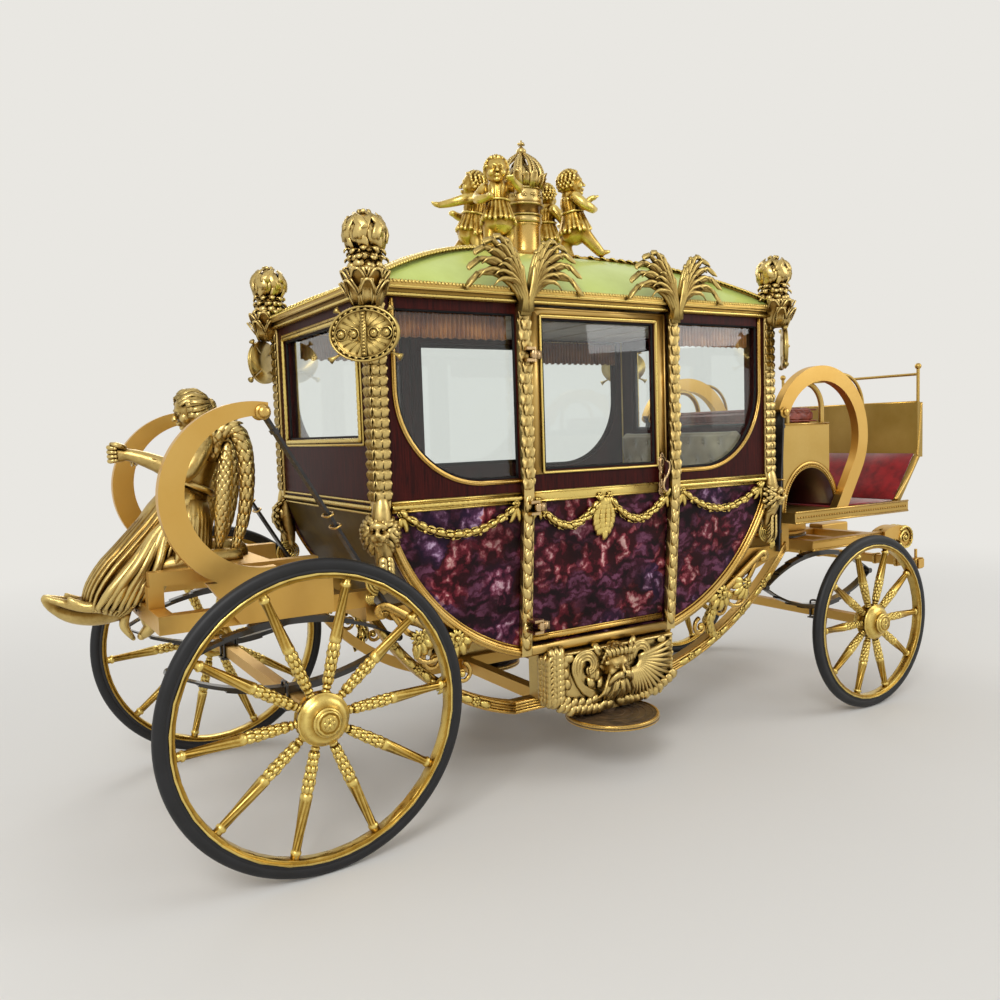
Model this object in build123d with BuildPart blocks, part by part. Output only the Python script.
from build123d import *
import os
from math import asin, atan2, cos, degrees, hypot, radians, sin

# An ornate gilt coach: a hollow closed body hung by leather straps from four flat
# crescent plates, a boat-shaped perch under it, a turning front carriage, four spoked
# wheels, a driver's box in front and a carved winged figure behind. X points forward,
# Y to the coach's left, Z up. The origin is on the ground, midway between the axles.
# All sizes are millimetres.

# Running gear
WHEELBASE = 3300
OVERHANG = 860
REAR_RADIUS = 600
FRONT_RADIUS = 495
REAR_TRACK = 1636
FRONT_TRACK = 1590
TYRE_THICK = 45
TYRE_WIDTH = 46
RIM_THICK = 22
RIM_WIDTH = 52
SPOKES = 10
HUB_RADIUS = 98
HUB_INNER = 76
HUB_OUTER = 85
CAP_RADIUS = 54
SPINDLE_RADIUS = 22
SPINDLE_LENGTH = 118
SPINDLE_GAP = 0.08
SHOULDER_GAP = 1.0
AXLE_BAR = 52

# Coach body
BODY_X = -135
BODY_LENGTH = 2320
BODY_WIDTH = 1240
SILL_LENGTH = 880
SILL_WIDTH = 1120
SILL_Z = 610
BELT_Z = 1345
EAVES_Z = 2205
BILGE = 146
WALL = 48
POST = 70
POST_PROUD = 15
DOOR_WIDTH = 810
DOOR_Z = 665
DOOR_TOP_GAP = 9
DOOR_GAP = 9
DOOR_BEVEL = 12
PILLAR_WIDTH = 54
PILLAR_PROUD = 30
HINGE_PROUD = 47
HINGE_RADIUS = 14
HINGE_PIN = 7
HINGE_PIN_GAP = 0.08
HINGE_HEIGHT = 34
HINGE_PLAY = 1
HINGE_ARM = 42
BEVEL_LAND = 4
HANDLE_Z = 1400
HANDLE_INSET = 42
HANDLE_LENGTH = 150
HANDLE_WIDTH = 20
HANDLE_PLATE = 8
HANDLE_REACH = 38
GLASS = 6
REBATE = 12
REBATE_DEPTH = 24
SEAT_GAP = 0.3

# Windows
WINDOW_Z = 1435
WINDOW_TOP = 2160
WINDOW_MARGIN = 48
WINDOW_CORNER = 400
DOOR_WINDOW_WIDTH = 660
DOOR_WINDOW_Z = 1465
DOOR_WINDOW_TOP = 2145
END_WINDOW_WIDTH = 930
END_WINDOW_Z = 1640
END_WINDOW_TOP = 2130

# Roof and crest
CORNICE_HEIGHT = 60
CORNICE_PROUD = 42
ROOF_PROUD = 20
ROOF_RISE = 285
ROOF_THICK = 28
CREST_Z = 3158

# Side frames and perch
FRAME_Y = 550
FRAME_PLATE = 50
RAIL_Z = 930
RAIL_HEIGHT = 70
RAIL_WIDTH = 60
RAIL_REAR_X = -2150
RAIL_FRONT_X = -1300
PERCH_Y = 430
PERCH_WIDTH = 50
PERCH_HEIGHT = 62
PERCH_LOW_Z = 300
PERCH_HIGH_Z = 900
PERCH_FRONT_X = 1330
PERCH_BOW = 110
CROSS_BAR = 60

# Springs
SPRING_SPAN = 940
SPRING_EYE = 16
LEAF_STEP = 0.22
SPRING_WIDTH = 50
LEAF = 7
LEAVES = 4

# Driver's box
DECK_Z = 1068
DECK_THICK = 64
DECK_REAR_X = 1272
DECK_FRONT_X = 2325
DECK_WIDTH = 1150
SEAT_BOX_REAR_X = 1242
SEAT_BOX_LENGTH = 398
SEAT_BOX_WIDTH = 1040
SEAT_BOX_TOP = 1640
SEAT_ARCH_X = 1475
SEAT_ARCH_HALF = 215
SEAT_ARCH_HEIGHT = 248
SEAT_ARCH_BAND = 26
SEAT_PAD_THICK = 92
SEAT_PAD_LENGTH = 338
SEAT_PAD_WIDTH = 960
TOE_REAR_X = 2240
TOE_THICK = 40
DASH_Z = 1400
DASH_TOP = 1748
DASH_THICK = 54
DASH_WIDTH = 1104
RAIL_POST_TOP = 1975
FRONT_RAIL_Z = 1925
TUBE_RADIUS = 10
ARM_TOP = 1870
ARM_RADIUS = 150
ARM_TUBE = 16
GRAB_REACH = 44

# Front carriage
BEAM_Z = 870
BEAM_HEIGHT = 62
BEAM_WIDTH = 50
BEAM_REAR = 80
TURNTABLE_RADIUS = 260
TURNTABLE_PLATE = 15
TURNTABLE_GAP = 5
KINGPIN_RADIUS = 20
KINGPIN_GAP = 0.08
KINGPIN_LENGTH = 108
BOLSTER_LENGTH = 320
BOLSTER_WIDTH = 420
CARRIAGE_BAR = 60
CARRIAGE_REACH = 180
HEAD_DROP = 12
HEAD_RADIUS = 68
HEAD_LENGTH = 275
HEAD_WIDTH = 92
HEAD_CREST = 28
HEAD_CHIN = 22
SPLINTER_X = 2400
SPLINTER_Z = 730
SPLINTER_LENGTH = 1240
SPLINTER_SIZE = 56
ROLLER_BOLT = 9
ROLLER_BOLT_HEIGHT = 60
ROLLER_BOLT_SPACING = 380
ROLLER_BOLT_Y = 390
POLE_BORE = 38
POLE_SOCKET = 108
POLE_SOCKET_LENGTH = 260
POLE_DEPTH = 240
POLE_SOCKET_FRONT_X = 2430

# Hanging straps and the forged arms they hold
STRAP_WIDTH = 50
STRAP_THICK = 12
LOOP_WIDTH = 60
LOOP_Y = 525
REAR_LOOP_X = -1226
REAR_LOOP_Z = 892
FRONT_LOOP_X = 1140
FRONT_LOOP_Z = 930
LOOP_EYE = 28

# Crescent plates
REAR_C_X = -1775
REAR_C_Z = 1430
REAR_C_RADIUS = 360
REAR_C_INNER = 292
REAR_C_SHIFT = 25
REAR_TIP_X = -1714
REAR_TIP_Z = 1760
FOOT_REAR_X = -1980
FOOT_FRONT_X = -1487
FOOT_Z = 940
FOOT_TOP = 1110
FOOT_RAKE = 120
FRONT_C_X = 1520
FRONT_C_Z = 1560
FRONT_C_RADIUS = 405
FRONT_C_INNER = 318
FRONT_LEG_ANGLE = -31
FRONT_TIP_ANGLE = 157

# Rear platform
PLATFORM_Z = 1084
PLATFORM_HEIGHT = 55
PLATFORM_REAR_X = -2142
PLATFORM_Y = 300
PLATFORM_LENGTH = 260

# Steps under the doors
STEP_BOX_REAR_X = -480
STEP_BOX_FRONT_X = 286
STEP_BOX_TOP = 600
STEP_BOX_LOW = 285
STEP_BOX_END_Z = 380
STEP_BOX_Y = 620
STEP_BOX_CURVE = 420
STEP_RADIUS = 228
STEP_Z = 248
STEP_THICK = 20
STEP_X = -115
STEP_Y = 625
STEP_STEM = 60

# Benches in the cabin
BENCH_START = 575
BENCH_TOP = 1050
BENCH_WIDTH = 1020
CUSHION_THICK = 120
CUSHION_DEPTH = 420
BACK_THICK = 100
BACK_TOP = 1630
CUSHION_LIP = 15

# Carved ornaments
LION_X = 1172
LION_Y = 632
LION_TOP = 60
MEDALLION_X = 1220
MEDALLION_Y = 680
MEDALLION_Z = 2045
MEDALLION_WIDTH = 300
MEDALLION_HEIGHT = 225
MEDALLION_THICK = 26
MEDALLION_PEG = 24
FROND_Z = 2214
FROND_THICK = 34
FROND_BLADE = 62
CHERUB_X = 255
CHERUB_Y = 140
CHERUB_HEIGHT = 470
CHERUB_STANCE = 36
CHERUB_HEAD = 58
CHERUB_SHOULDER_Z = 320
CHERUB_SHOULDER = 50
CHERUB_ARM = 150
CHERUB_ARM_RADIUS = 22
CHERUB_SEAT = 13
FIGURE_HEAD = 78
FIGURE_HEAD_X = -1876
FIGURE_HEAD_Z = 1788
FIGURE_BUN = 40
FIGURE_SHOULDER_X = -1850
FIGURE_SHOULDER_Y = 110
FIGURE_SHOULDER_Z = 1660
FIGURE_ARM_RADIUS = 42
FIGURE_FIST = 48
LIMB_TAPER = 2.4
WING_Y = 120
WING_THICK = 48
TRAIN_X = -2152

rear_x = -WHEELBASE / 2
front_x = WHEELBASE / 2
nose_x = front_x + OVERHANG
tail_x = rear_x - OVERHANG
body_end = BODY_LENGTH / 2
body_side = BODY_WIDTH / 2
sill_end = SILL_LENGTH / 2
sill_side = SILL_WIDTH / 2
door_half = DOOR_WIDTH / 2
door_top = EAVES_Z - DOOR_TOP_GAP
panel_start = door_half + DOOR_GAP
post_x = body_end + POST_PROUD - POST / 2
post_y = body_side + POST_PROUD - POST / 2
post_inner_x = post_x - POST / 2
post_inner_y = post_y - POST / 2
roof_base = EAVES_Z + CORNICE_HEIGHT
roof_crest = roof_base + ROOF_RISE
deck_top = DECK_Z + DECK_THICK
beam_top = BEAM_Z + BEAM_HEIGHT
rail_y = FRAME_Y - FRAME_PLATE / 2 - RAIL_WIDTH / 2
perch_top = PERCH_HIGH_Z + PERCH_HEIGHT
platform_top = PLATFORM_Z + PLATFORM_HEIGHT
socket_x = POLE_SOCKET_FRONT_X - POLE_SOCKET_LENGTH
hinge_x = BODY_X - door_half - DOOR_GAP / 2
hinge_y = body_side + HINGE_PROUD
table_top = beam_top + TURNTABLE_PLATE
fixed_table_z = table_top + TURNTABLE_GAP
bolster_z = fixed_table_z + TURNTABLE_PLATE

# Body planes: the side view and the cross section through the middle of the body
side_view = Plane(origin=(BODY_X, 0, 0), x_dir=(1, 0, 0), z_dir=(0, -1, 0))
cross_section = Plane(origin=(BODY_X, 0, 0), x_dir=(0, 1, 0), z_dir=(1, 0, 0))

os.makedirs("parts", exist_ok=True)


def save(part, name):
    """Labels a finished piece and writes its file."""
    part.label = name
    export_step(part, f"parts/{name}.step")


# Wheels: a rubber tyre in a flanged rim, ten turned spokes, a domed hub with a cap
wheel_table = (
    # name, x, side (-1 is the right), radius, track, angle of the first spoke
    ("rear_right", rear_x, -1, REAR_RADIUS, REAR_TRACK, 80),
    ("rear_left", rear_x, 1, REAR_RADIUS, REAR_TRACK, 80),
    ("front_right", front_x, -1, FRONT_RADIUS, FRONT_TRACK, 72),
    ("front_left", front_x, 1, FRONT_RADIUS, FRONT_TRACK, 72),
)
spoke_table = (
    # share of the spoke's length, radius
    (0.00, 17),
    (0.50, 18),
    (0.53, 22),
    (0.58, 16),
    (1.00, 13),
)
hub_table = (
    # distance out from the wheel's middle plane, radius
    (-HUB_INNER, 58),
    (-28, 72),
    (-20, HUB_RADIUS),
    (22, HUB_RADIUS),
    (50, 70),
    (52, CAP_RADIUS),
    (HUB_OUTER, CAP_RADIUS - 4),
    (HUB_OUTER + 8, CAP_RADIUS - 16),
)


def build_wheel(radius, first_angle):
    """Rim, spokes and hub in one, flat on XY with the outer side up."""
    rim_out = radius - TYRE_THICK
    rim_in = rim_out - RIM_THICK
    spoke_start = HUB_RADIUS - 6
    spoke_length = rim_in + 3 - spoke_start
    with BuildPart() as spoke:
        with BuildSketch(Plane.XY):
            with BuildLine():
                outline = [(spoke_start + share * spoke_length, r) for share, r in spoke_table]
                Polyline((outline[0][0], 0), *outline, (outline[-1][0], 0), close=True)
            make_face()
        revolve(axis=Axis.X)
    with BuildPart() as wheel:
        with BuildSketch(Plane.XZ):
            with BuildLine():
                outline = [(r, z) for z, r in hub_table]
                Polyline((0, outline[0][1]), *outline, (0, outline[-1][1]), close=True)
            make_face()
            with Locations((rim_out - RIM_THICK / 2, 0)):
                Rectangle(RIM_THICK, RIM_WIDTH)
        revolve(axis=Axis.Z)
        with PolarLocations(0, SPOKES, start_angle=first_angle):
            add(spoke.part)
        with BuildSketch(Plane.XY.offset(-HUB_INNER)):
            Circle(SPINDLE_RADIUS + SPINDLE_GAP)
        extrude(amount=SPINDLE_LENGTH + SHOULDER_GAP, mode=Mode.SUBTRACT)
    return wheel.part


def build_tyre(radius):
    """The rubber ring, seated on the rim between its edges."""
    with BuildPart() as tyre:
        with BuildSketch(Plane.XZ):
            with Locations((radius - TYRE_THICK / 2, 0)):
                tread = Rectangle(TYRE_THICK, TYRE_WIDTH)
            fillet(tread.vertices().sort_by(Axis.X)[-2:], TYRE_THICK * 0.3)
        revolve(axis=Axis.Z)
    return tyre.part


for name, x, side, radius, track, angle in wheel_table:
    plane = Plane(origin=(x, side * track / 2, radius), x_dir=(1, 0, 0), z_dir=(0, side, 0))
    with BuildPart(plane) as placed_wheel:
        add(build_wheel(radius, -side * angle))
    save(placed_wheel.part, f"wheel_{name}")
    with BuildPart(plane) as placed_tyre:
        add(build_tyre(radius))
    save(placed_tyre.part, f"tyre_{name}")


# Axles: a square forged bar between the hubs with a round spindle at each end
def build_axle(x, z, track):
    """One axle with both spindles, the bar ending just short of the hubs."""
    bar_half = track / 2 - HUB_INNER - SHOULDER_GAP
    with BuildPart() as axle:
        with BuildSketch(Plane.XZ.offset(-bar_half)):
            with Locations((x, z)):
                Rectangle(AXLE_BAR, AXLE_BAR)
        extrude(amount=2 * bar_half)
        for end in (-1, 1):
            spindle = Plane(origin=(x, end * bar_half, z), z_dir=(0, end, 0))
            with BuildSketch(spindle):
                Circle(SPINDLE_RADIUS)
            extrude(amount=SPINDLE_LENGTH - 2)
    return axle.part


save(build_axle(rear_x, REAR_RADIUS, REAR_TRACK), "rear_axle")
save(build_axle(front_x, FRONT_RADIUS, FRONT_TRACK), "front_axle")


# Leaf springs: two bowed stacks of leaves joined at rolled eyes
def build_springs(x, y, low_z, high_z):
    """A pair of elliptic springs between an axle and its rails."""
    eye_z = (low_z + high_z) / 2
    bow = (high_z - low_z) / 2 - LEAVES * LEAF
    half = SPRING_SPAN / 2
    bend = (half**2 + bow**2) / (2 * bow)
    with BuildPart() as springs:
        for side in (-1, 1):
            with BuildSketch(Plane.XZ.offset(-side * y)):
                for up in (-1, 1):
                    middle = (x, eye_z + up * (bow - bend))
                    for leaf in range(LEAVES):
                        reach = degrees(asin(half * (1 - LEAF_STEP * leaf) / bend))
                        inner = bend + leaf * LEAF
                        with BuildLine():
                            first = CenterArc(middle, inner, up * 90 - reach, 2 * reach)
                            second = CenterArc(middle, inner + LEAF, up * 90 - reach, 2 * reach)
                            Line(first @ 0, second @ 0)
                            Line(first @ 1, second @ 1)
                        make_face()
                with Locations((x - half, eye_z), (x + half, eye_z)):
                    Circle(SPRING_EYE)
            extrude(amount=SPRING_WIDTH / 2, both=True)
    return springs.part


rear_spring_low = REAR_RADIUS + AXLE_BAR / 2
front_spring_low = FRONT_RADIUS + AXLE_BAR / 2
save(build_springs(rear_x, rail_y, rear_spring_low, RAIL_Z), "rear_springs")
save(build_springs(front_x, PERCH_Y, front_spring_low, BEAM_Z), "front_springs")


# Crescent plates: flat gilded plates that hang the body. The rear pair stand on a foot
# plate beside the rails, the front pair run down a straight leg to the deck.
with BuildPart() as rear_crescents:
    for side in (-1, 1):
        with BuildSketch(Plane.XZ.offset(-side * FRAME_Y)):
            with Locations((REAR_C_X, REAR_C_Z)):
                Circle(REAR_C_RADIUS)
            with Locations((REAR_C_X + REAR_C_SHIFT, REAR_C_Z + REAR_C_SHIFT / 2)):
                Circle(REAR_C_INNER, mode=Mode.SUBTRACT)
            with Locations((REAR_TIP_X, FOOT_TOP)):
                Rectangle(
                    REAR_C_RADIUS * 2, REAR_C_RADIUS * 3,
                    align=(Align.MIN, Align.MIN), mode=Mode.SUBTRACT,
                )
            with BuildLine():
                Polyline(
                    (FOOT_REAR_X, FOOT_TOP), (FOOT_FRONT_X, FOOT_TOP),
                    (FOOT_FRONT_X, FOOT_Z), (FOOT_REAR_X + FOOT_RAKE, FOOT_Z), close=True,
                )
            make_face()
        extrude(amount=FRAME_PLATE / 2, both=True)
save(rear_crescents.part, "rear_crescents")

leg_turn = radians(FRONT_LEG_ANGLE)
leg_slope = (-sin(leg_turn), cos(leg_turn))
with BuildPart() as front_crescents:
    for side in (-1, 1):
        with BuildSketch(Plane.XZ.offset(-side * FRAME_Y)):
            with BuildLine():
                middle = (FRONT_C_X, FRONT_C_Z)
                turn = FRONT_TIP_ANGLE - FRONT_LEG_ANGLE
                outer = CenterArc(middle, FRONT_C_RADIUS, FRONT_LEG_ANGLE, turn)
                inner = CenterArc(middle, FRONT_C_INNER, FRONT_LEG_ANGLE, turn)
                Line(outer @ 1, inner @ 1)
                outer_foot = outer @ 0
                inner_foot = inner @ 0
                outer_drop = (outer_foot.Y - deck_top) / leg_slope[1]
                inner_drop = (inner_foot.Y - deck_top) / leg_slope[1]
                outer_leg = Line(outer @ 0, (outer_foot.X - outer_drop * leg_slope[0], deck_top))
                inner_leg = Line(inner @ 0, (inner_foot.X - inner_drop * leg_slope[0], deck_top))
                Line(outer_leg @ 1, inner_leg @ 1)
            make_face()
        extrude(amount=FRAME_PLATE / 2, both=True)
save(front_crescents.part, "front_crescents")


# Rear frame: two side rails above the axle, cross bars and the figure's platform rails
with BuildPart() as rear_frame:
    for side in (-1, 1):
        with BuildSketch(Plane.XY.offset(RAIL_Z)):
            with Locations((RAIL_REAR_X, side * rail_y)):
                Rectangle(RAIL_FRONT_X - RAIL_REAR_X, RAIL_WIDTH, align=(Align.MIN, Align.CENTER))
        extrude(amount=RAIL_HEIGHT)
    with BuildSketch(Plane.XY.offset(RAIL_Z)):
        with Locations((RAIL_REAR_X + CROSS_BAR / 2, 0), (FOOT_FRONT_X, 0)):
            Rectangle(CROSS_BAR, 2 * rail_y)
    extrude(amount=RAIL_HEIGHT)
    for bar_x in (RAIL_REAR_X + CROSS_BAR / 2, FOOT_FRONT_X):
        with BuildSketch(Plane.XY.offset(RAIL_Z + RAIL_HEIGHT)):
            with Locations((bar_x, PLATFORM_Y), (bar_x, -PLATFORM_Y)):
                Rectangle(CROSS_BAR, CROSS_BAR)
        extrude(amount=PLATFORM_Z - RAIL_Z - RAIL_HEIGHT)
    with BuildSketch(Plane.XY.offset(PLATFORM_Z)):
        with Locations((PLATFORM_REAR_X, PLATFORM_Y), (PLATFORM_REAR_X, -PLATFORM_Y)):
            Rectangle(
                FOOT_FRONT_X + CROSS_BAR / 2 - PLATFORM_REAR_X, CROSS_BAR,
                align=(Align.MIN, Align.CENTER),
            )
        with Locations((rear_x - PLATFORM_LENGTH / 2, 0)):
            Rectangle(PLATFORM_LENGTH, 2 * PLATFORM_Y)
    extrude(amount=PLATFORM_HEIGHT)
save(rear_frame.part, "rear_frame")


# Perch: two boat-shaped side beams that sweep down under the body, with cross bars, and
# risers that carry the rear of the driver's deck
perch_low = sill_end - 10
with BuildPart() as perch:
    for side in (-1, 1):
        with BuildSketch(Plane.XZ.offset(-side * PERCH_Y)):
            for end_x in (RAIL_FRONT_X, PERCH_FRONT_X):
                way = 1 if end_x > BODY_X else -1
                low_x = BODY_X + way * perch_low
                middle = ((low_x + end_x) / 2, (PERCH_LOW_Z + PERCH_HIGH_Z) / 2)
                chord = Vector(end_x - low_x, PERCH_HIGH_Z - PERCH_LOW_Z)
                bow = (
                    middle[0] + PERCH_BOW * way * chord.Y / chord.length,
                    middle[1] - PERCH_BOW * abs(chord.X) / chord.length,
                )
                with BuildLine():
                    lower = ThreePointArc((low_x, PERCH_LOW_Z), bow, (end_x, PERCH_HIGH_Z))
                    upper = ThreePointArc(
                        (low_x, PERCH_LOW_Z + PERCH_HEIGHT),
                        (bow[0], bow[1] + PERCH_HEIGHT),
                        (end_x, PERCH_HIGH_Z + PERCH_HEIGHT),
                    )
                    Line(lower @ 0, upper @ 0)
                    Line(lower @ 1, upper @ 1)
                make_face()
            with Locations((BODY_X, PERCH_LOW_Z + PERCH_HEIGHT / 2)):
                Rectangle(2 * perch_low, PERCH_HEIGHT)
        extrude(amount=PERCH_WIDTH / 2, both=True)
    with BuildSketch(Plane.XY.offset(PERCH_LOW_Z)):
        with Locations((BODY_X - perch_low / 2, 0), (BODY_X + perch_low / 2, 0)):
            Rectangle(CROSS_BAR, 2 * PERCH_Y)
    extrude(amount=PERCH_HEIGHT)
    with BuildSketch(Plane.XY.offset(PERCH_HIGH_Z)):
        with Locations((PERCH_FRONT_X, 0)):
            Rectangle(CROSS_BAR, 2 * PERCH_Y + PERCH_WIDTH)
    extrude(amount=PERCH_HEIGHT)
    with BuildSketch(Plane.XY.offset(RAIL_Z)):
        with Locations((RAIL_FRONT_X, 0)):
            Rectangle(CROSS_BAR, 2 * rail_y + RAIL_WIDTH)
    extrude(amount=-PERCH_HEIGHT)
    with BuildSketch(Plane.XY.offset(perch_top)):
        with Locations((PERCH_FRONT_X, PERCH_Y), (PERCH_FRONT_X, -PERCH_Y)):
            Rectangle(CROSS_BAR, PERCH_WIDTH)
    extrude(amount=DECK_Z - perch_top)
save(perch.part, "perch")

# Coach body, built from one set of outlines. The side walls lean in below the belt.
chord = Vector(body_end - sill_end, BELT_Z - SILL_Z)
bilge_point = (
    (body_end + sill_end) / 2 + BILGE * chord.Y / chord.length,
    (BELT_Z + SILL_Z) / 2 - BILGE * chord.X / chord.length,
)


def boat_face(top):
    """Side outline of the boat-shaped lower body, closed at a height above the belt."""
    with BuildSketch() as face:
        with BuildLine():
            ThreePointArc((sill_end, SILL_Z), bilge_point, (body_end, BELT_Z))
            Polyline((body_end, BELT_Z), (body_end, top), (-body_end, top), (-body_end, BELT_Z))
            ThreePointArc(
                (-body_end, BELT_Z), (-bilge_point[0], bilge_point[1]), (-sill_end, SILL_Z)
            )
            Line((-sill_end, SILL_Z), (sill_end, SILL_Z))
        make_face()
    return face.sketch


def wall_section(side, low_z, proud=0, depth=WALL):
    """Cross section of one side wall, or of a strip standing proud of it."""
    slope = (body_side - sill_side) / (BELT_Z - SILL_Z)
    outer = body_side + proud
    low_outer = outer - slope * (BELT_Z - low_z)
    with BuildSketch() as face:
        with BuildLine():
            Polyline(
                (side * outer, EAVES_Z), (side * outer, BELT_Z), (side * low_outer, low_z),
                (side * (low_outer - depth), low_z), (side * (outer - depth), BELT_Z),
                (side * (outer - depth), EAVES_Z), close=True,
            )
        make_face()
    return face.sketch


def quarter_window(way, grow=0):
    """Window outline with one large round corner, grown for its rebate or its glass."""
    first = way * (panel_start + PILLAR_WIDTH + 5 - grow)
    last = way * (post_inner_x - WINDOW_MARGIN + grow)
    low = WINDOW_Z - grow
    top = WINDOW_TOP + grow
    corner = WINDOW_CORNER + grow
    with BuildSketch() as face:
        with BuildLine():
            Polyline((last, low + corner), (last, top), (first, top), (first, low))
            Line((first, low), (last - way * corner, low))
            CenterArc((last - way * corner, low + corner), corner, 270, way * 90)
        make_face()
    return face.sketch


def side_plane(side, depth):
    """Side view plane at a depth inside the upper wall's outer face, facing outward."""
    turn = 1 if side < 0 else -1
    return Plane(
        origin=(BODY_X, side * (body_side - depth), 0), x_dir=(turn, 0, 0), z_dir=(0, side, 0)
    )


# Lower end panels and floor: one curved shell between the side walls
with BuildPart() as body_pan:
    with BuildSketch(side_view):
        add(boat_face(BELT_Z + 4 * WALL))
        offset(amount=-WALL, mode=Mode.SUBTRACT)
        with Locations((0, BELT_Z)):
            Rectangle(BODY_LENGTH, 5 * WALL, align=(Align.CENTER, Align.MIN), mode=Mode.SUBTRACT)
    extrude(amount=body_side, both=True)
    with BuildSketch(cross_section):
        with BuildLine():
            Polyline(
                (body_side - WALL, BELT_Z), (sill_side - WALL, SILL_Z),
                (WALL - sill_side, SILL_Z), (WALL - body_side, BELT_Z), close=True,
            )
        make_face()
    extrude(amount=BODY_LENGTH, both=True, mode=Mode.INTERSECT)
save(body_pan.part, "body_pan")


# Quarter panels: one at each end of each side, with a curved window and its rebate
def build_quarter(side, way):
    """One quarter panel, from the door opening to the corner post."""
    with BuildPart() as quarter:
        with BuildSketch(cross_section):
            add(wall_section(side, SILL_Z))
        extrude(amount=BODY_LENGTH / 2, both=True)
        with BuildSketch(side_view):
            add(boat_face(EAVES_Z))
            with Locations((way * (post_inner_x + body_end), BELT_Z)):
                Rectangle(
                    2 * body_end, EAVES_Z - BELT_Z + 1,
                    align=(Align.CENTER, Align.MIN), mode=Mode.SUBTRACT,
                )
            with Locations((way * (panel_start - body_end * 1.5), 0)):
                Rectangle(
                    3 * body_end, EAVES_Z + 1,
                    align=(Align.CENTER, Align.MIN), mode=Mode.SUBTRACT,
                )
        extrude(amount=body_side, both=True, mode=Mode.INTERSECT)
        with BuildSketch(side_view):
            add(quarter_window(way))
        extrude(amount=body_side, both=True, mode=Mode.SUBTRACT)
        turn = way if side < 0 else -way
        with BuildSketch(side_plane(side, WALL)):
            add(quarter_window(turn, REBATE))
        extrude(amount=REBATE_DEPTH, mode=Mode.SUBTRACT)
    return quarter.part


def build_quarter_glass():
    """Four panes with the quarter windows' outline, lying in their rebates."""
    with BuildPart() as panes:
        for side in (-1, 1):
            for way in (-1, 1):
                with BuildSketch(side_plane(side, WALL - REBATE_DEPTH)):
                    add(quarter_window(way, REBATE - SEAT_GAP))
                extrude(amount=-GLASS)
    return panes.part


side_names = ((-1, "right"), (1, "left"))
way_names = ((-1, "rear"), (1, "front"))
for side, side_name in side_names:
    for way, way_name in way_names:
        save(build_quarter(side, way), f"{way_name}_quarter_{side_name}")
save(build_quarter_glass(), "quarter_glass")


# Sills: the short strips of side wall under the doors
with BuildPart() as sills:
    for side in (-1, 1):
        with BuildSketch(cross_section):
            add(wall_section(side, SILL_Z))
        extrude(amount=panel_start, both=True)
    with BuildSketch(side_view):
        with Locations((0, SILL_Z)):
            Rectangle(2 * panel_start, DOOR_Z - DOOR_GAP - SILL_Z, align=(Align.CENTER, Align.MIN))
    extrude(amount=body_side, both=True, mode=Mode.INTERSECT)
save(sills.part, "door_sills")


# End walls above the belt, each with a window and its rebate, and the two panes
for way, way_name in way_names:
    end_plane = Plane(origin=(BODY_X + way * body_end, 0, 0), x_dir=(0, way, 0), z_dir=(way, 0, 0))
    window_height = END_WINDOW_TOP - END_WINDOW_Z
    window_middle = (0, (END_WINDOW_TOP + END_WINDOW_Z) / 2)
    with BuildPart() as end_wall:
        with BuildSketch(end_plane):
            with Locations((0, BELT_Z)):
                Rectangle(
                    2 * post_inner_y, EAVES_Z - BELT_Z, align=(Align.CENTER, Align.MIN)
                )
            with Locations(window_middle):
                Rectangle(END_WINDOW_WIDTH, window_height, mode=Mode.SUBTRACT)
        extrude(amount=-WALL)
        with BuildSketch(end_plane.offset(-WALL)):
            with Locations(window_middle):
                Rectangle(END_WINDOW_WIDTH + 2 * REBATE, window_height + 2 * REBATE)
        extrude(amount=REBATE_DEPTH, mode=Mode.SUBTRACT)
    save(end_wall.part, f"{way_name}_wall")

with BuildPart() as end_glass:
    for way, way_name in way_names:
        seat_x = BODY_X + way * (body_end - WALL + REBATE_DEPTH)
        with BuildSketch(Plane(origin=(seat_x, 0, 0), x_dir=(0, way, 0), z_dir=(way, 0, 0))):
            with Locations((0, (END_WINDOW_TOP + END_WINDOW_Z) / 2)):
                Rectangle(
                    END_WINDOW_WIDTH + 2 * (REBATE - SEAT_GAP),
                    END_WINDOW_TOP - END_WINDOW_Z + 2 * (REBATE - SEAT_GAP),
                )
        extrude(amount=-GLASS)
save(end_glass.part, "end_glass")

# Corner posts stand on the belt, pillars stand proud of the side walls beside the doors
with BuildPart() as corner_posts:
    with BuildSketch(Plane.XY.offset(BELT_Z)):
        with Locations((BODY_X, 0)):
            with GridLocations(2 * post_x, 2 * post_y, 2, 2):
                RectangleRounded(POST, POST, 12)
    extrude(amount=EAVES_Z - BELT_Z)
save(corner_posts.part, "corner_posts")

with BuildPart() as door_pillars:
    for side in (-1, 1):
        for way in (-1, 1):
            pillar_middle = BODY_X + way * (panel_start + PILLAR_WIDTH / 2)
            with BuildSketch(Plane(origin=(pillar_middle, 0, 0), x_dir=(0, 1, 0), z_dir=(1, 0, 0))):
                add(wall_section(side, SILL_Z, PILLAR_PROUD, PILLAR_PROUD))
            extrude(amount=PILLAR_WIDTH / 2, both=True)
save(door_pillars.part, "door_pillars")


# Doors: one solid leaf each with a window, hinged at the rear edge outside the pillar
hinge_table = (760, 1300, 1980)


def wall_face(z):
    """How far out the side wall's outer face stands at a height."""
    return body_side - (body_side - sill_side) * max(0, BELT_Z - z) / (BELT_Z - SILL_Z)


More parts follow.
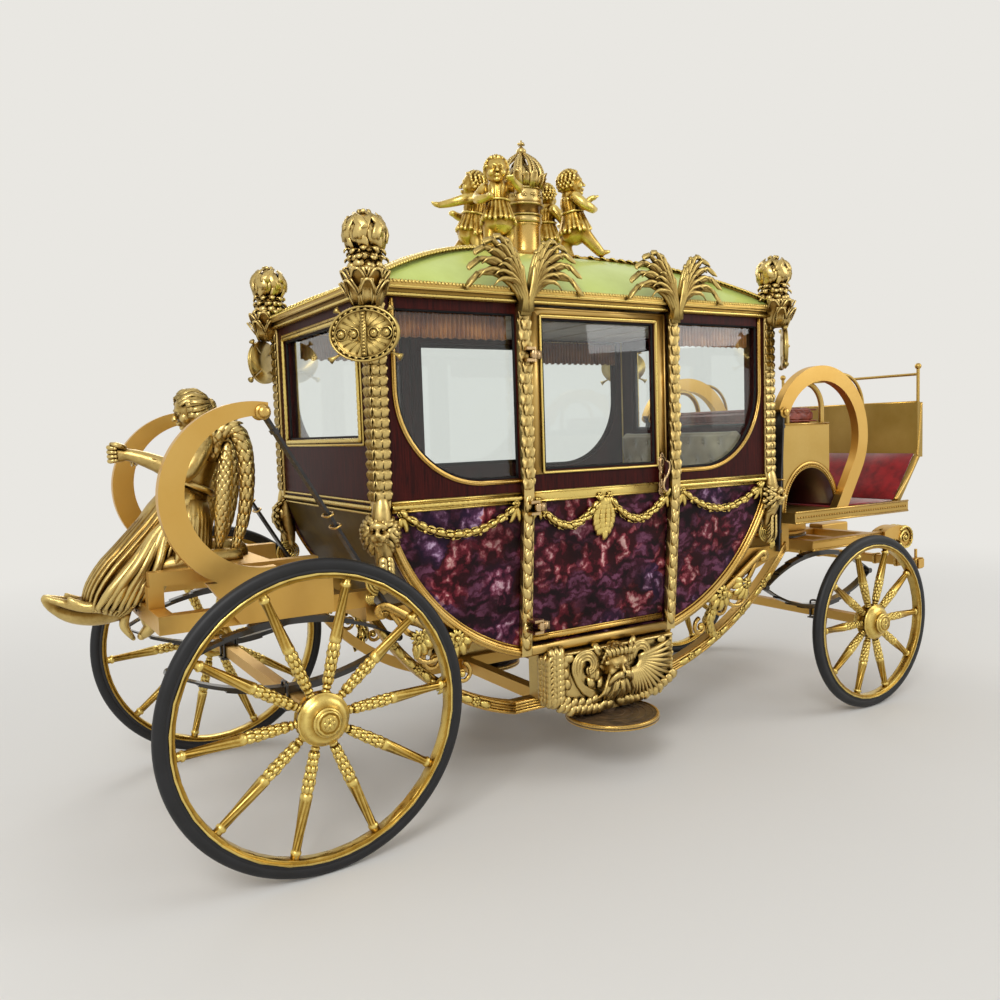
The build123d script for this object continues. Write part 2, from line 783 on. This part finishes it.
def build_door(side):
    """A door leaf that follows the wall's lean, with hinge knuckles and a lever handle."""
    with BuildPart() as door:
        with BuildSketch(cross_section):
            add(wall_section(side, SILL_Z))
        extrude(amount=door_half, both=True)
        with BuildSketch(side_view):
            with Locations((0, DOOR_Z)):
                Rectangle(DOOR_WIDTH, door_top - DOOR_Z, align=(Align.CENTER, Align.MIN))
        extrude(amount=body_side, both=True, mode=Mode.INTERSECT)
        lock_face = door.faces().sort_by(Axis.X)[-1]
        lock_edges = lock_face.edges().filter_by(lambda edge: edge.length > WALL + 1)
        inner_edges = lock_edges.sort_by(lambda edge: abs(edge.center().Y))[:1]
        inner_edges += [
            edge for edge in lock_edges
            if abs(abs(edge.center().Y) - (body_side - WALL)) < 1
        ]
        chamfer(inner_edges, WALL - BEVEL_LAND, DOOR_BEVEL, reference=lock_face)
        with BuildSketch(side_view):
            with Locations((0, (DOOR_WINDOW_TOP + DOOR_WINDOW_Z) / 2)):
                Rectangle(DOOR_WINDOW_WIDTH, DOOR_WINDOW_TOP - DOOR_WINDOW_Z)
        extrude(amount=body_side, both=True, mode=Mode.SUBTRACT)
        with BuildSketch(side_plane(side, WALL)):
            with Locations((0, (DOOR_WINDOW_TOP + DOOR_WINDOW_Z) / 2)):
                Rectangle(
                    DOOR_WINDOW_WIDTH + 2 * REBATE,
                    DOOR_WINDOW_TOP - DOOR_WINDOW_Z + 2 * REBATE,
                )
        extrude(amount=REBATE_DEPTH, mode=Mode.SUBTRACT)
        arm_align = (Align.MIN, Align.MAX if side > 0 else Align.MIN)
        for z in hinge_table:
            with BuildSketch(Plane.XY.offset(z - HINGE_HEIGHT / 2)):
                with Locations((hinge_x, side * hinge_y)):
                    Circle(HINGE_RADIUS)
                with Locations((hinge_x + HINGE_PLAY * 3, side * hinge_y)):
                    Rectangle(HINGE_ARM, hinge_y - wall_face(z) + HINGE_PLAY * 5, align=arm_align)
            extrude(amount=HINGE_HEIGHT)
            with BuildSketch(Plane.XY.offset(z - HINGE_HEIGHT / 2)):
                with Locations((hinge_x, side * hinge_y)):
                    Circle(HINGE_PIN + HINGE_PIN_GAP)
            extrude(amount=HINGE_HEIGHT, mode=Mode.SUBTRACT)
        handle_plane = side_plane(side, 0)
        handle_x = -side * (door_half - HANDLE_INSET)
        with BuildSketch(handle_plane.offset(-HANDLE_PLATE)):
            with Locations((handle_x, HANDLE_Z)):
                SlotOverall(HANDLE_LENGTH, HANDLE_WIDTH * 2, rotation=90)
        extrude(amount=2 * HANDLE_PLATE)
        with BuildSketch(handle_plane):
            with Locations((handle_x, HANDLE_Z)):
                Circle(HANDLE_WIDTH / 2)
        extrude(amount=HANDLE_REACH)
        with BuildSketch(handle_plane.offset(HANDLE_REACH)):
            with Locations((handle_x, HANDLE_Z)):
                SlotOverall(HANDLE_LENGTH, HANDLE_WIDTH, rotation=90)
        extrude(amount=HANDLE_WIDTH / 2)
    return door.part


def build_hinges():
    """Fixed knuckles above and below each door knuckle, with their pins and arms."""
    with BuildPart() as hinges:
        for side in (-1, 1):
            arm_align = (Align.MAX, Align.MAX if side > 0 else Align.MIN)
            for z in hinge_table:
                gap = HINGE_HEIGHT / 2 + HINGE_PLAY
                for low in (z - gap - HINGE_RADIUS, z + gap):
                    with BuildSketch(Plane.XY.offset(low)):
                        with Locations((hinge_x, side * hinge_y)):
                            Circle(HINGE_RADIUS)
                        with Locations((hinge_x, side * (hinge_y + HINGE_RADIUS))):
                            Rectangle(
                                HINGE_ARM, hinge_y + HINGE_RADIUS - wall_face(low) - PILLAR_PROUD / 2,
                                align=arm_align,
                            )
                    extrude(amount=HINGE_RADIUS)
                with BuildSketch(Plane.XY.offset(z - gap)):
                    with Locations((hinge_x, side * hinge_y)):
                        Circle(HINGE_PIN)
                extrude(amount=2 * gap)
        add(door_pillars.part, mode=Mode.SUBTRACT)
    return hinges.part


save(build_hinges(), "door_hinges")
for side, side_name in side_names:
    save(build_door(side), f"door_{side_name}")
    with BuildPart() as door_pane:
        with BuildSketch(side_plane(side, WALL - REBATE_DEPTH)):
            with Locations((0, (DOOR_WINDOW_TOP + DOOR_WINDOW_Z) / 2)):
                Rectangle(
                    DOOR_WINDOW_WIDTH + 2 * (REBATE - SEAT_GAP),
                    DOOR_WINDOW_TOP - DOOR_WINDOW_Z + 2 * (REBATE - SEAT_GAP),
                )
        extrude(amount=-GLASS)
    save(door_pane.part, f"door_glass_{side_name}")

# Roof: a stepped cornice on the walls and a domed roof shell between two arched curves
with BuildPart() as cornice:
    for proud, low, high in ((CORNICE_PROUD / 2, 0, 0.5), (CORNICE_PROUD, 0.5, 1)):
        with BuildSketch(Plane.XY.offset(EAVES_Z + low * CORNICE_HEIGHT)):
            with Locations((BODY_X, 0)):
                Rectangle(BODY_LENGTH + 2 * proud, BODY_WIDTH + 2 * proud)
                Rectangle(
                    BODY_LENGTH - 2 * WALL, BODY_WIDTH - 2 * WALL, mode=Mode.SUBTRACT
                )
        extrude(amount=(high - low) * CORNICE_HEIGHT)
save(cornice.part, "cornice")


def arch_face(half, rise):
    """A shallow arch standing on the cornice."""
    with BuildSketch() as face:
        with BuildLine():
            ThreePointArc((-half, roof_base), (0, roof_base + rise), (half, roof_base))
            Line((-half, roof_base), (half, roof_base))
        make_face()
    return face.sketch


with BuildPart() as roof_core:
    with BuildSketch(side_view):
        add(arch_face(body_end + ROOF_PROUD - ROOF_THICK, ROOF_RISE - ROOF_THICK))
    extrude(amount=BODY_WIDTH, both=True)
    with BuildSketch(cross_section):
        add(arch_face(body_side + ROOF_PROUD - ROOF_THICK, ROOF_RISE - ROOF_THICK))
    extrude(amount=BODY_LENGTH, both=True, mode=Mode.INTERSECT)
with BuildPart() as roof_block:
    with BuildSketch(side_view):
        add(arch_face(body_end + ROOF_PROUD, ROOF_RISE))
    extrude(amount=BODY_WIDTH, both=True)
    with BuildSketch(cross_section):
        add(arch_face(body_side + ROOF_PROUD, ROOF_RISE))
    extrude(amount=BODY_LENGTH, both=True, mode=Mode.INTERSECT)
with BuildPart() as roof:
    add(roof_block.part)
    add(roof_core.part, mode=Mode.SUBTRACT)
save(roof.part, "roof")


def turned(profile):
    """A turned or carved form, from (radius, height) points up its axis."""
    with BuildPart() as form:
        with BuildSketch(Plane.XZ):
            with BuildLine():
                Polyline((0, profile[0][1]), *profile, (0, profile[-1][1]), close=True)
            make_face()
        revolve(axis=Axis.Z)
    return form.part


corners = [(way, side) for way in (-1, 1) for side in (-1, 1)]

# Corner finials: a leafy cup and a bud on each corner of the cornice
finial_profile = (
    # radius, height above the cornice
    (82, 0),
    (100, 40),
    (84, 78),
    (46, 104),
    (52, 128),
    (76, 176),
    (62, 232),
    (14, 272),
)
with BuildPart() as finials:
    with Locations(*[
        (BODY_X + way * (body_end + POST_PROUD), side * (body_side + POST_PROUD), roof_base)
        for way, side in corners
    ]):
        add(turned(finial_profile))
    add(roof_block.part, mode=Mode.SUBTRACT)
save(finials.part, "corner_finials")

# Lion heads at the ends of the belt, each tapering to a leaf below
lion_profile = (
    # radius, height above the leaf's tip
    (12, 0),
    (34, 70),
    (46, 130),
    (70, 180),
    (84, 235),
    (82, 280),
    (60, 325),
    (24, 345),
)
with BuildPart() as body_block:
    with BuildSketch(side_view):
        add(boat_face(EAVES_Z))
    extrude(amount=body_side, both=True)
    add(corner_posts.part)
with BuildPart() as lion_heads:
    with Locations(*[
        (BODY_X + way * LION_X, side * LION_Y, BELT_Z + LION_TOP - lion_profile[-1][1])
        for way, side in corners
    ]):
        add(turned(lion_profile))
    add(body_block.part, mode=Mode.SUBTRACT)
save(lion_heads.part, "lion_heads")

# Oval medallions on the corner posts, each on a peg
with BuildPart() as medallions:
    for way, side in corners:
        face = Plane(
            origin=(BODY_X + way * MEDALLION_X, side * MEDALLION_Y, MEDALLION_Z),
            x_dir=(-side, way, 0), z_dir=(way, side, 0),
        )
        with BuildSketch(face):
            Ellipse(MEDALLION_WIDTH / 2, MEDALLION_HEIGHT / 2)
        extrude(amount=MEDALLION_THICK / 2, both=True)
        with BuildSketch(face):
            Circle(MEDALLION_PEG)
        extrude(amount=-hypot(MEDALLION_X - post_x, MEDALLION_Y - post_y))
    add(corner_posts.part, mode=Mode.SUBTRACT)
save(medallions.part, "medallions")

# Palm fronds spreading from the top of each door pillar over the cornice's edge
blade_table = (
    # angle from level, length
    (20, 296),
    (48, 262),
    (76, 226),
)
with BuildPart() as palm_fronds:
    for side in (-1, 1):
        with BuildSketch(side_plane(side, -CORNICE_PROUD)):
            for way in (-1, 1):
                stem_x = way * (panel_start + PILLAR_WIDTH / 2)
                with Locations((stem_x, FROND_Z)):
                    Rectangle(PILLAR_WIDTH, CORNICE_HEIGHT, align=(Align.CENTER, Align.MIN))
                for angle, length in blade_table:
                    for turn in (angle, 180 - angle):
                        tip_x = stem_x + cos(radians(turn)) * length / 2
                        tip_z = FROND_Z + sin(radians(turn)) * length / 2
                        with Locations(Location((tip_x, tip_z, 0), (0, 0, turn))):
                            Ellipse(length / 2, FROND_BLADE / 2)
        extrude(amount=FROND_THICK)
save(palm_fronds.part, "palm_fronds")

# Crest: a drum on the crown of the roof with a crown on top
crown_profile = (
    # radius, height down from the tip
    (78, -618),
    (78, -412),
    (92, -405),
    (92, -345),
    (100, -340),
    (100, -268),
    (84, -258),
    (112, -170),
    (92, -95),
    (30, -58),
    (22, -40),
    (30, -22),
    (4, 0),
)
with BuildPart() as crown:
    with Locations((BODY_X, 0, CREST_Z)):
        add(turned(crown_profile))
    add(roof_block.part, mode=Mode.SUBTRACT)
save(crown.part, "crown")

# Cherubs standing round the drum, each reaching one arm in to the crown and one out
leg_profile = (
    # radius, height above the roof's crown
    (30, -12),
    (22, 24),
    (30, 96),
    (38, 176),
)
torso_profile = (
    # radius, height above the roof's crown
    (52, 140),
    (78, 190),
    (62, 260),
    (76, 315),
    (60, 350),
    (24, 370),
)
arm_table = (
    # side of the body, rise for each unit along
    (1, 0.5),
    (-1, -0.35),
)
with BuildPart() as cherub:
    with Locations((0, CHERUB_STANCE, 0), (0, -CHERUB_STANCE, 0)):
        add(turned(leg_profile))
    add(turned(torso_profile))
    with Locations((0, 0, CHERUB_HEIGHT - CHERUB_HEAD)):
        Sphere(CHERUB_HEAD)
    for turn, rise in arm_table:
        shoulder = (turn * CHERUB_SHOULDER, 0, CHERUB_SHOULDER_Z)
        with BuildSketch(Plane(origin=shoulder, z_dir=(turn, 0, rise))):
            Circle(CHERUB_ARM_RADIUS)
        extrude(amount=CHERUB_ARM, taper=LIMB_TAPER)
with BuildPart() as cherubs:
    for way, side in corners:
        inward = Plane(
            origin=(BODY_X + way * CHERUB_X, side * CHERUB_Y, roof_crest - CHERUB_SEAT),
            x_dir=(-way * CHERUB_X, -side * CHERUB_Y, 0), z_dir=(0, 0, 1),
        )
        with Locations(inward.location):
            add(cherub.part)
    add(roof_block.part, mode=Mode.SUBTRACT)
save(cherubs.part, "roof_cherubs")

# Rear figure: a winged figure whose skirt, waist and chest are oval sections going up, and
# whose train is oval sections going back from the platform's edge to its pointed end
skirt_sections = (
    # height, middle in X, half length, half width
    (platform_top, -1936, 214, 200),
    (1230, -1958, 192, 176),
    (1330, -1915, 150, 132),
    (1430, -1874, 106, 102),
    (1510, -1852, 80, 84),
)
chest_sections = (
    # height, middle in X, half length, half width
    (1510, -1852, 80, 84),
    (1610, -1848, 84, 122),
    (1670, -1846, 64, 146),
    (1722, -1858, 38, 42),
    (1770, -1870, 34, 36),
)
train_sections = (
    # X, middle height, half width, half height
    (-2090, 1196, 140, 60),
    (TRAIN_X, 1120, 166, 105),
    (-2200, 1060, 164, 110),
    (-2262, 1040, 140, 85),
    (-2330, 1006, 100, 38),
    (-2430, 1001, 60, 20),
    (tail_x, 1000, 12, 5),
)
with BuildPart() as train:
    for x, height, half_width, half_height in train_sections:
        with BuildSketch(Plane(origin=(x, 0, height), x_dir=(0, 1, 0), z_dir=(1, 0, 0))):
            Ellipse(half_width, half_height)
    loft(ruled=True)
    with BuildSketch(Plane.XY.offset(platform_top)):
        with Locations((TRAIN_X, 0)):
            Rectangle(PLATFORM_LENGTH, BODY_WIDTH, align=(Align.MIN, Align.CENTER))
    extrude(amount=-PLATFORM_LENGTH, mode=Mode.SUBTRACT)
with BuildPart() as rear_figure:
    for sections in (skirt_sections, chest_sections):
        with BuildPart() as torso:
            for height, x, half_length, half_width in sections:
                with BuildSketch(Plane(origin=(x, 0, height))):
                    Ellipse(half_length, half_width)
            loft(ruled=True)
        add(torso.part)
    add(train.part)
    with Locations((FIGURE_HEAD_X, 0, FIGURE_HEAD_Z)):
        Sphere(FIGURE_HEAD)
    with Locations((FIGURE_HEAD_X + FIGURE_HEAD * 0.8, 0, FIGURE_HEAD_Z + FIGURE_HEAD * 0.45)):
        Sphere(FIGURE_BUN)
    for side in (-1, 1):
        with BuildSketch(Plane.XZ.offset(-side * WING_Y)):
            with BuildLine():
                ThreePointArc((-1840, 1668), (-1748, 1722), (-1690, 1650))
                ThreePointArc((-1690, 1650), (-1668, 1500), (-1700, 1330))
                Polyline(
                    (-1700, 1330), (-1775, platform_top + 8), (-1800, 1330),
                    (-1808, 1590), (-1840, 1668),
                )
            make_face()
        extrude(amount=WING_THICK / 2, both=True)
    for side, hand in ((-1, Vector(-2200, -110, 1602)), (1, Vector(-2010, 150, 1470))):
        shoulder = Vector(FIGURE_SHOULDER_X, side * FIGURE_SHOULDER_Y, FIGURE_SHOULDER_Z)
        with BuildSketch(Plane(origin=shoulder, z_dir=hand - shoulder)):
            Circle(FIGURE_ARM_RADIUS)
        extrude(amount=(hand - shoulder).length, taper=LIMB_TAPER)
        with Locations(hand):
            Sphere(FIGURE_FIST)
save(rear_figure.part, "rear_figure")

# Front carriage: two beams with carved ends, cross bars, a turntable plate and the king pin
with BuildPart() as front_frame:
    for side in (-1, 1):
        with BuildSketch(Plane.XZ.offset(-side * PERCH_Y)):
            with Locations((front_x - BEAM_REAR, BEAM_Z)):
                Rectangle(
                    nose_x - HEAD_LENGTH - front_x + BEAM_REAR, BEAM_HEIGHT,
                    align=(Align.MIN, Align.MIN),
                )
        extrude(amount=BEAM_WIDTH / 2, both=True)
        with BuildSketch(Plane.XZ.offset(-side * PERCH_Y)):
            with BuildLine():
                neck_x = nose_x - HEAD_LENGTH
                eye = (nose_x - HEAD_RADIUS, BEAM_Z + HEAD_DROP)
                nose = CenterArc(eye, HEAD_RADIUS, -90, 180)
                ThreePointArc(
                    (neck_x, beam_top), (neck_x + HEAD_LENGTH / 3, beam_top + HEAD_CREST), nose @ 1
                )
                ThreePointArc(nose @ 0, (eye[0] - HEAD_RADIUS / 2, BEAM_Z - HEAD_CHIN), (neck_x, BEAM_Z))
                Line((neck_x, BEAM_Z), (neck_x, beam_top))
            make_face()
        extrude(amount=HEAD_WIDTH / 2, both=True)
    with BuildSketch(Plane.XY.offset(BEAM_Z)):
        with Locations(
            (front_x - BEAM_REAR + CARRIAGE_BAR, 0), (front_x + CARRIAGE_REACH, 0), (socket_x, 0)
        ):
            Rectangle(CARRIAGE_BAR, 2 * PERCH_Y, align=(Align.MAX, Align.CENTER))
        with Locations((front_x - BEAM_REAR, 0)):
            Rectangle(
                socket_x - front_x + BEAM_REAR, CARRIAGE_BAR, align=(Align.MIN, Align.CENTER)
            )
    extrude(amount=BEAM_HEIGHT)
    with BuildSketch(Plane.XY.offset(beam_top)):
        with Locations((front_x, 0)):
            Circle(TURNTABLE_RADIUS)
    extrude(amount=TURNTABLE_PLATE)
    with BuildSketch(Plane.XY.offset(table_top)):
        with Locations((front_x, 0)):
            Circle(KINGPIN_RADIUS)
    extrude(amount=KINGPIN_LENGTH)
save(front_frame.part, "front_frame")

# Pole socket: an iron box on the front cross bar that the pole slides into
with BuildPart() as pole_socket:
    socket_end = Plane(origin=(socket_x, 0, BEAM_Z + BEAM_HEIGHT / 2), x_dir=(0, 1, 0), z_dir=(1, 0, 0))
    with BuildSketch(socket_end):
        RectangleRounded(POLE_SOCKET, POLE_SOCKET, POLE_SOCKET / 8)
    extrude(amount=POLE_SOCKET_LENGTH)
    with BuildSketch(socket_end.offset(POLE_SOCKET_LENGTH)):
        Circle(POLE_BORE)
    extrude(amount=-POLE_DEPTH, mode=Mode.SUBTRACT)
save(pole_socket.part, "pole_socket")

# Splinter bar: the cross bar that the traces pull on, hung under the beams by two plates
with BuildPart() as splinter_bar:
    with BuildSketch(Plane.XZ.offset(-SPLINTER_LENGTH / 2)):
        with Locations((SPLINTER_X, SPLINTER_Z)):
            RectangleRounded(SPLINTER_SIZE, SPLINTER_SIZE, SPLINTER_SIZE / 6)
    extrude(amount=SPLINTER_LENGTH)
    with BuildSketch(Plane.XY.offset(SPLINTER_Z)):
        with Locations((SPLINTER_X, PERCH_Y), (SPLINTER_X, -PERCH_Y)):
            Rectangle(SPLINTER_SIZE, BEAM_WIDTH)
    extrude(amount=BEAM_Z - SPLINTER_Z)
    add(front_frame.part, mode=Mode.SUBTRACT)
    with BuildSketch(Plane.XY.offset(SPLINTER_Z)):
        for middle in (-ROLLER_BOLT_Y, ROLLER_BOLT_Y):
            with Locations((SPLINTER_X, middle)):
                with GridLocations(0, ROLLER_BOLT_SPACING, 1, 2):
                    Circle(ROLLER_BOLT)
    extrude(amount=SPLINTER_SIZE / 2 + ROLLER_BOLT_HEIGHT)
save(splinter_bar.part, "splinter_bar")

# Bolster: the fixed turntable plate and the block that carries the driver's deck
with BuildPart() as bolster:
    with BuildSketch(Plane.XY.offset(fixed_table_z)):
        with Locations((front_x, 0)):
            Circle(TURNTABLE_RADIUS)
    extrude(amount=TURNTABLE_PLATE)
    with BuildSketch(Plane.XY.offset(bolster_z)):
        with Locations((front_x, 0)):
            Rectangle(BOLSTER_LENGTH, BOLSTER_WIDTH)
    extrude(amount=DECK_Z - bolster_z)
    with BuildSketch(Plane.XY.offset(fixed_table_z)):
        with Locations((front_x, 0)):
            Circle(KINGPIN_RADIUS + KINGPIN_GAP)
    extrude(amount=KINGPIN_LENGTH, mode=Mode.SUBTRACT)
save(bolster.part, "bolster")

# Driver's deck, the seat box on an arched tunnel, its pad, and the toe board with its dash
with BuildPart() as driver_deck:
    with BuildSketch(Plane.XY.offset(DECK_Z)):
        with Locations((DECK_REAR_X, 0)):
            Rectangle(DECK_FRONT_X - DECK_REAR_X, DECK_WIDTH, align=(Align.MIN, Align.CENTER))
    extrude(amount=DECK_THICK)
save(driver_deck.part, "driver_deck")

with BuildPart() as seat_box:
    with BuildSketch(Plane.XZ):
        with Locations((SEAT_ARCH_X, deck_top)):
            Ellipse(SEAT_ARCH_HALF + SEAT_ARCH_BAND, SEAT_ARCH_HEIGHT + SEAT_ARCH_BAND)
        with Locations((SEAT_BOX_REAR_X, deck_top)):
            Rectangle(SEAT_BOX_LENGTH, SEAT_BOX_TOP - deck_top, align=(Align.MIN, Align.MIN))
        with Locations((SEAT_ARCH_X, deck_top)):
            Ellipse(SEAT_ARCH_HALF, SEAT_ARCH_HEIGHT, mode=Mode.SUBTRACT)
            Rectangle(
                BODY_LENGTH, SEAT_BOX_TOP, align=(Align.CENTER, Align.MAX), mode=Mode.SUBTRACT
            )
    extrude(amount=SEAT_BOX_WIDTH / 2, both=True)
save(seat_box.part, "driver_seat_box")

with BuildPart() as driver_cushion:
    with BuildSketch(Plane.XY.offset(SEAT_BOX_TOP + SEAT_GAP)):
        with Locations((SEAT_BOX_REAR_X + SEAT_BOX_LENGTH / 2, 0)):
            RectangleRounded(SEAT_PAD_LENGTH, SEAT_PAD_WIDTH, SEAT_PAD_THICK / 3)
    extrude(amount=SEAT_PAD_THICK)
save(driver_cushion.part, "driver_cushion")

with BuildPart() as dash_board:
    with BuildSketch(Plane.XZ):
        with BuildLine():
            Polyline(
                (TOE_REAR_X, deck_top), (TOE_REAR_X + TOE_THICK, deck_top),
                (nose_x - DASH_THICK + TOE_THICK * 0.7, DASH_Z), (nose_x, DASH_Z),
                (nose_x, DASH_TOP), (nose_x - DASH_THICK, DASH_TOP),
                (nose_x - DASH_THICK, DASH_Z + TOE_THICK / 2), close=True,
            )
        make_face()
    extrude(amount=DASH_WIDTH / 2, both=True)
save(dash_board.part, "dash_board")

# Gilt rails: the front rail on two posts, an arched rail at each end of the seat and a
# grab rail on each front crescent
rail_post_x = nose_x - DASH_THICK / 2
rail_post_y = DASH_WIDTH / 2 - TUBE_RADIUS * 1.5
seat_middle_x = SEAT_BOX_REAR_X + SEAT_BOX_LENGTH / 2
arm_y = SEAT_BOX_WIDTH / 2 - ARM_TUBE
grab_table = (
    # angle round the front crescent, distance from its middle
    (64, FRONT_C_RADIUS - TUBE_RADIUS),
    (40, FRONT_C_RADIUS + GRAB_REACH),
    (16, FRONT_C_RADIUS - TUBE_RADIUS),
)


def bent_tube(plane, points, middle, radius):
    """A round bar on a straight leg, an arc and a second straight leg."""
    with BuildPart() as tube:
        with BuildLine(plane) as route:
            if points[0] != middle[0]:
                Line(points[0], middle[0])
            ThreePointArc(*middle)
            if points[1] != middle[2]:
                Line(middle[2], points[1])
        with BuildSketch(Plane(origin=route.wire() @ 0, z_dir=route.wire() % 0)):
            Circle(radius)
        sweep()
    return tube.part


with BuildPart() as driver_rails:
    with BuildSketch(Plane.XY.offset(DASH_TOP)):
        with Locations((rail_post_x, rail_post_y), (rail_post_x, -rail_post_y)):
            Circle(TUBE_RADIUS)
    extrude(amount=RAIL_POST_TOP - DASH_TOP)
    for side in (-1, 1):
        with Locations((rail_post_x, side * rail_post_y, RAIL_POST_TOP)):
            Sphere(TUBE_RADIUS * 2)
    with BuildSketch(Plane.XZ.offset(-rail_post_y)):
        with Locations((rail_post_x, FRONT_RAIL_Z)):
            Circle(TUBE_RADIUS * 0.9)
    extrude(amount=2 * rail_post_y)
    for side in (-1, 1):
        arm_plane = Plane.XZ.offset(-side * arm_y)
        arm_foot = ((seat_middle_x - ARM_RADIUS, SEAT_BOX_TOP), (seat_middle_x + ARM_RADIUS, SEAT_BOX_TOP))
        arm_spring = ARM_TOP - ARM_RADIUS
        add(bent_tube(arm_plane, arm_foot, (
            (seat_middle_x - ARM_RADIUS, arm_spring), (seat_middle_x, ARM_TOP),
            (seat_middle_x + ARM_RADIUS, arm_spring),
        ), ARM_TUBE))
        grab_points = [
            (FRONT_C_X + reach * cos(radians(angle)), FRONT_C_Z + reach * sin(radians(angle)))
            for angle, reach in grab_table
        ]
        add(bent_tube(
            Plane.XZ.offset(-side * FRAME_Y), (grab_points[0], grab_points[2]), grab_points, TUBE_RADIUS
        ))
    add(front_crescents.part, mode=Mode.SUBTRACT)
save(driver_rails.part, "driver_rails")

# Body loops: forged arms under the body's ends, and the leather straps that hang it
loop_table = (
    # end of the body, eye x, eye z, where the arm leaves the boat, where its top meets it
    (-1, REAR_LOOP_X, REAR_LOOP_Z, (620, 680), (880, 930)),
    (1, FRONT_LOOP_X, FRONT_LOOP_Z, (620, 680), (960, 965)),
)
with BuildPart() as body_loops:
    for side in (-1, 1):
        for way, eye_x, eye_z, foot, neck in loop_table:
            eye_u = way * (eye_x - BODY_X)
            with BuildSketch(Plane(origin=(BODY_X, side * LOOP_Y, 0), x_dir=(1, 0, 0), z_dir=(0, -1, 0))):
                with BuildLine():
                    Polyline(
                        (way * foot[0], foot[1]), (way * eye_u, eye_z - LOOP_EYE),
                        (way * eye_u, eye_z + LOOP_EYE), (way * neck[0], neck[1]), close=True,
                    )
                make_face()
                with Locations((way * eye_u, eye_z)):
                    Circle(LOOP_EYE)
            extrude(amount=LOOP_WIDTH / 2, both=True)
    add(body_block.part, mode=Mode.SUBTRACT)
save(body_loops.part, "body_loops")

front_tip = radians(FRONT_TIP_ANGLE)
front_tip_radius = (FRONT_C_RADIUS + FRONT_C_INNER) / 2
strap_table = (
    # top, bottom
    ((REAR_TIP_X - STRAP_WIDTH / 2, REAR_TIP_Z), (REAR_LOOP_X, REAR_LOOP_Z)),
    (
        (FRONT_C_X + front_tip_radius * cos(front_tip), FRONT_C_Z + front_tip_radius * sin(front_tip)),
        (FRONT_LOOP_X, FRONT_LOOP_Z),
    ),
)
with BuildPart() as straps:
    for side in (-1, 1):
        for top, bottom in strap_table:
            with BuildSketch(Plane.XZ.offset(-side * FRAME_Y)):
                with Locations(((top[0] + bottom[0]) / 2, (top[1] + bottom[1]) / 2)):
                    SlotCenterToCenter(
                        hypot(top[0] - bottom[0], top[1] - bottom[1]), STRAP_THICK,
                        rotation=degrees(atan2(top[1] - bottom[1], top[0] - bottom[0])),
                    )
            extrude(amount=STRAP_WIDTH / 2, both=True)
    add(rear_crescents.part, mode=Mode.SUBTRACT)
    add(front_crescents.part, mode=Mode.SUBTRACT)
    add(body_loops.part, mode=Mode.SUBTRACT)
save(straps.part, "body_straps")

# Steps: a carved box on each side of the perch with a round disc step under it
perch_side = PERCH_Y + PERCH_WIDTH / 2
with BuildPart() as step_boxes:
    for side in (-1, 1):
        with BuildSketch(Plane.XZ.offset(-side * (perch_side + STEP_BOX_Y) / 2)):
            with BuildLine():
                low_rear = (STEP_X - STEP_RADIUS / 2, STEP_BOX_LOW)
                low_front = (STEP_X + STEP_RADIUS / 2, STEP_BOX_LOW)
                Line(low_rear, low_front)
                RadiusArc(low_front, (STEP_BOX_FRONT_X, STEP_BOX_END_Z), -STEP_BOX_CURVE)
                Polyline(
                    (STEP_BOX_FRONT_X, STEP_BOX_END_Z), (STEP_BOX_FRONT_X, STEP_BOX_TOP),
                    (STEP_BOX_REAR_X, STEP_BOX_TOP), (STEP_BOX_REAR_X, STEP_BOX_END_Z),
                )
                RadiusArc((STEP_BOX_REAR_X, STEP_BOX_END_Z), low_rear, -STEP_BOX_CURVE)
            make_face()
        extrude(amount=(STEP_BOX_Y - perch_side) / 2, both=True)
save(step_boxes.part, "step_boxes")

with BuildPart() as disc_steps:
    for side in (-1, 1):
        with BuildSketch(Plane.XY.offset(STEP_Z)):
            with Locations((STEP_X, side * STEP_Y)):
                Circle(STEP_RADIUS)
        extrude(amount=STEP_THICK)
        with BuildSketch(Plane.XY.offset(STEP_Z + STEP_THICK)):
            with Locations((STEP_X, side * (STEP_BOX_Y - STEP_STEM))):
                Circle(STEP_STEM)
        extrude(amount=STEP_BOX_LOW - STEP_Z - STEP_THICK)
save(disc_steps.part, "disc_steps")


# Cabin seats: boxed benches at each end with a cushion and an upholstered back
def cabin_room(clearance):
    """The space inside the end panels, less a clearance."""
    with BuildSketch() as face:
        add(boat_face(EAVES_Z))
        offset(amount=-WALL - clearance)
    return face.sketch


bench_table = (
    # node, start from the middle, depth, bottom, top, width, clearance, corner radius
    ("cabin_benches", BENCH_START, BODY_LENGTH, SILL_Z, BENCH_TOP, BENCH_WIDTH, 0),
    (
        "bench_cushions", BENCH_START + CUSHION_LIP, CUSHION_DEPTH, BENCH_TOP + SEAT_GAP,
        BENCH_TOP + CUSHION_THICK, BENCH_WIDTH - CUSHION_LIP, SEAT_GAP,
    ),
    (
        "bench_backs", body_end - WALL - BACK_THICK, BACK_THICK,
        BENCH_TOP + CUSHION_THICK + SEAT_GAP, BACK_TOP, BENCH_WIDTH, SEAT_GAP,
    ),
)
for name, start, depth, low, high, width, clearance in bench_table:
    with BuildPart() as seats:
        with BuildSketch(side_view):
            for way in (-1, 1):
                with Locations((way * (start + depth / 2), low)):
                    Rectangle(depth, high - low, align=(Align.CENTER, Align.MIN))
            add(cabin_room(clearance), mode=Mode.INTERSECT)
        extrude(amount=width / 2, both=True)
    save(seats.part, name)
